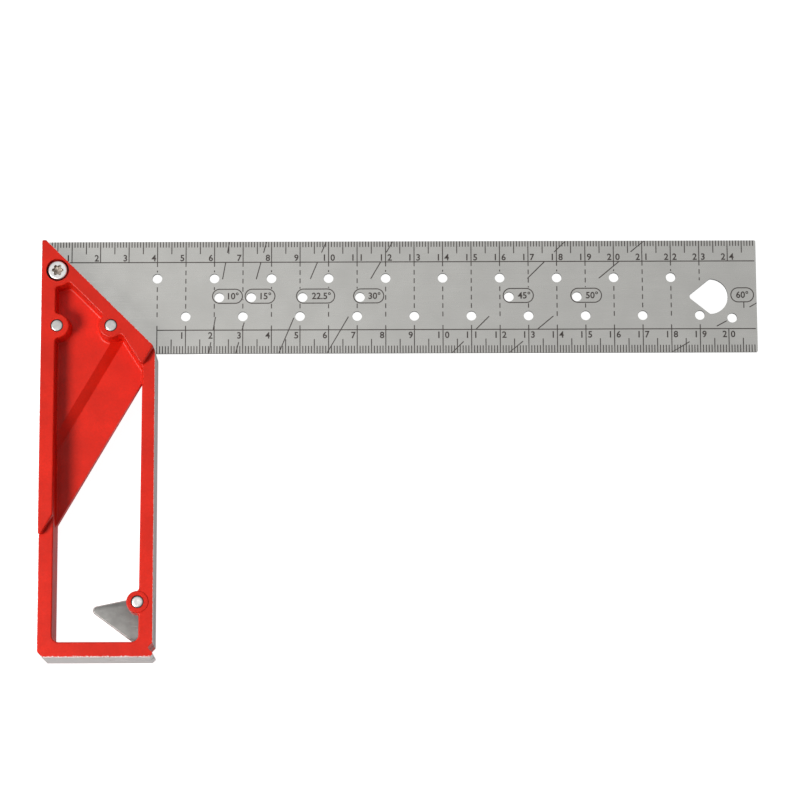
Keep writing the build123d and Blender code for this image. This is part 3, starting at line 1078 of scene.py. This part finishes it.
class SQUARE_OT_support(bpy.types.Operator):
    """Make the support plate and its pin, and give the washer its steel"""

    bl_idname = "square.make_support"
    bl_label = "Support plate"

    def execute(self, context):
        steel = context.scene.square_steel
        self.make_pin(steel)
        self.make_plate(steel)
        washer = turned_metal("washer_steel", steel.rivet)
        node = frame["nodes"]["friction_washer"]
        node.data.materials.clear()
        node.data.materials.append(washer)
        return {"FINISHED"}

    def make_pin(self, steel):
        """A pin with a low domed head at each end, turned about the pin's axis."""
        at, low, top = middle_of("support_pin")
        points, faces = revolved(two_ended(PIN_END, low, top), at, 64)
        mesh = new_mesh("support_pin_formed", points, faces, ROUND_ANGLE)
        metal = turned_metal("pin_plating", steel.plating * 0.92)
        add_piece("support_pin_formed", mesh, metal, "handle", ["support_pin"])

    def make_plate(self, steel):
        """The outline at a direction is the farthest circle's middle plus its radius, less the inset,
        along that direction. The profile's insets and heights round both edges, and its two ends are
        the pin hole."""
        pin, _, _ = middle_of("support_pin")
        _, low, top = middle_of("support_plate")
        circles = np.array(PLATE_ENDS)
        angle = np.linspace(0, 2 * pi, 240, endpoint=False)
        direction = np.stack([np.cos(angle), np.sin(angle)], -1)
        farthest = (circles[:, :2] @ direction.T + circles[:, 2:]).argmax(0)
        middle, radius = circles[farthest, :2], circles[farthest, 2]
        rows = []
        for inset, z in rounded_sides(low, top, PLATE_ROUND):
            outline = middle + (radius - inset)[:, None] * direction
            rows.append(np.c_[outline, np.full(len(angle), z)])
        outline = middle + radius[:, None] * direction
        toward = outline / np.linalg.norm(outline, axis=1, keepdims=True)
        hole = [np.c_[toward * PLATE_HOLE, np.full(len(angle), z)] for z in (low, top)]
        rows = np.array([hole[0], *rows, hole[1]]) + (pin[0], pin[1], 0)
        faces = grid_quads(len(rows), len(angle), wrap_rows=True)
        mesh = new_mesh("support_plate_blanked", rows.reshape(-1, 3), faces, ROUND_ANGLE)
        # The band on the rounded upper edge is marked for the plate's painted highlight.
        heights = face_values(mesh, "center")[:, 2]
        highlight_low, highlight_high = (placed((0, 0, top - drop))[2] for drop in PLATE_HIGHLIGHT_BAND)
        mark_faces(mesh, "rim", (heights > highlight_low) & (heights < highlight_high))
        metal = plain_plate(steel.plate)
        add_piece("support_plate_blanked", mesh, metal, "support", ["support_plate"])


def rounded_sides(low, top, radius, steps=5):
    """(inset, height) from the lower face round both rounded edges to the upper face."""
    turn = np.linspace(0, pi / 2, steps)
    lower = [(radius * (1 - sin(a)), low + radius * (1 - cos(a))) for a in turn]
    upper = [(radius * (1 - cos(a)), top - radius * (1 - sin(a))) for a in turn]
    return lower + upper


# ---------------------------------------------------------------- stage


def soft_light(name, at, aim, size, tint, watts):
    """A round area light that looks from at towards aim."""
    light = bpy.data.lights.new(name, "AREA")
    light.shape = "DISK"
    light.size = size
    light.energy = watts
    light.color = tint
    lamp = bpy.data.objects.new(name, light)
    lamp.location = at
    lamp.rotation_mode = "QUATERNION"
    lamp.rotation_quaternion = (Vector(at) - Vector(aim)).to_track_quat("Z", "Y")
    bpy.context.scene.collection.objects.link(lamp)


class SQUARE_OT_stage(bpy.types.Operator):
    """Make the floor, the lights and the camera"""

    bl_idname = "square.make_stage"
    bl_label = "Stage"

    def execute(self, context):
        scene, stage = context.scene, context.scene.square_stage
        scene.view_settings.view_transform = "Standard"
        self.make_sky(scene, stage)
        self.make_floor(stage)
        for name, *light in LIGHTS:
            soft_light(name, *light, getattr(stage, name))
        camera = bpy.data.cameras.new("camera")
        camera.lens = stage.lens
        camera.sensor_width = 36
        camera.clip_start = 0.05
        eye = bpy.data.objects.new("camera", camera)
        eye.location = CAMERA_AT
        eye.rotation_euler = (stage.tilt, *CAMERA_ROLL)
        scene.collection.objects.link(eye)
        scene.camera = eye
        return {"FINISHED"}

    def make_sky(self, scene, stage):
        """Even light. The camera sees white, polished metal mirrors a bright room, and what lies below
        the horizon is as bright as the floor."""
        scene.world = bpy.data.worlds.new("sky")
        scene.world.use_nodes = True
        scene.world.node_tree.nodes.clear()
        tree = Tree(scene.world.node_tree)
        path = tree.node("LightPath")
        direction = tree.node("TexCoord").outputs["Generated"]
        height = tree.node("SeparateXYZ", Vector=direction).outputs["Z"]
        mirrored = tree.ranged(path.outputs["Is Glossy Ray"], 0, 1, stage.sky, stage.room)
        below = tree.ranged(height, 0, -HORIZON_FADE, 0, BELOW_HORIZON)
        strength = tree.maths("MAXIMUM", mirrored, below)
        strength = tree.maths("MAXIMUM", strength, path.outputs["Is Camera Ray"])
        sky = tree.node("Background", Color=(1, 1, 1, 1), Strength=strength)
        output = tree.node("OutputWorld")
        tree.give(output.inputs["Surface"], sky.outputs[0])

    def make_floor(self, stage):
        """A pale floor under the square, which gives off some light of its own and is clear from
        below."""
        material, tree, shader = new_material("pale_floor")
        tree.give(shader.inputs["Base Color"], (*stage.floor, 1))
        shader.inputs["Roughness"].default_value = 0.9
        shader.inputs["Specular IOR Level"].default_value = 0.1
        shader.inputs["Emission Color"].default_value = (1, 1, 1, 1)
        seen = tree.node("LightPath").outputs["Is Camera Ray"]
        glow = tree.ranged(seen, 0, 1, FLOOR_BOUNCE, stage.floor_glow)
        tree.give(shader.inputs["Emission Strength"], glow)
        from_below = tree.node("NewGeometry").outputs["Backfacing"]
        tree.give(shader.inputs["Alpha"], tree.maths("SUBTRACT", 1, from_below))
        mesh = bpy.data.meshes.new("floor")
        corners = FLOOR_SIZE * np.array([(-1, -1), (1, -1), (1, 1), (-1, 1)])
        height = CAD_BOX[0].z - FLOOR_GAP
        mesh.from_pydata([(x, y, height) for x, y in corners], [], [(0, 1, 2, 3)])
        mesh.materials.append(material)
        floor = bpy.data.objects.new("floor", mesh)
        bpy.context.scene.collection.objects.link(floor)


# ---------------------------------------------------------------- panel and registration

OPERATORS = (
    SQUARE_OT_stage,
    SQUARE_OT_stock,
    SQUARE_OT_blade,
    SQUARE_OT_markings,
    SQUARE_OT_screw,
    SQUARE_OT_rivets,
    SQUARE_OT_support,
)
SETTINGS = {
    "square_coat": CoatSettings,
    "square_steel": SteelSettings,
    "square_marks": MarkingSettings,
    "square_stage": StageSettings,
}


class SQUARE_PT_panel(bpy.types.Panel):
    """Lists the pieces of the square and their settings"""

    bl_idname = "SQUARE_PT_panel"
    bl_label = "Square"
    bl_space_type = "VIEW_3D"
    bl_region_type = "UI"
    bl_category = "Square"

    def draw(self, context):
        for operator in OPERATORS:
            self.layout.operator(operator.bl_idname)
        for name, group in SETTINGS.items():
            box = self.layout.box()
            for key in group.__annotations__:
                box.prop(getattr(context.scene, name), key)


def register():
    """Adds the classes and the settings to Blender."""
    for kind in (*SETTINGS.values(), *OPERATORS, SQUARE_PT_panel):
        bpy.utils.register_class(kind)
    for name, group in SETTINGS.items():
        setattr(bpy.types.Scene, name, PointerProperty(type=group))


def unregister():
    """Takes the classes and the settings out again."""
    for name in SETTINGS:
        delattr(bpy.types.Scene, name)
    for kind in (SQUARE_PT_panel, *reversed(OPERATORS), *reversed(SETTINGS.values())):
        bpy.utils.unregister_class(kind)


def main():
    """Builds the shared shader groups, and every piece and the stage."""
    register()
    for make_group in (make_grain_group, make_mottle_group, make_peel_group, make_wear_group):
        make_group()
    for operator in OPERATORS:
        name = operator.bl_idname.split(".")[1]
        getattr(bpy.ops.square, name)()


if __name__ == "__main__":
    main()
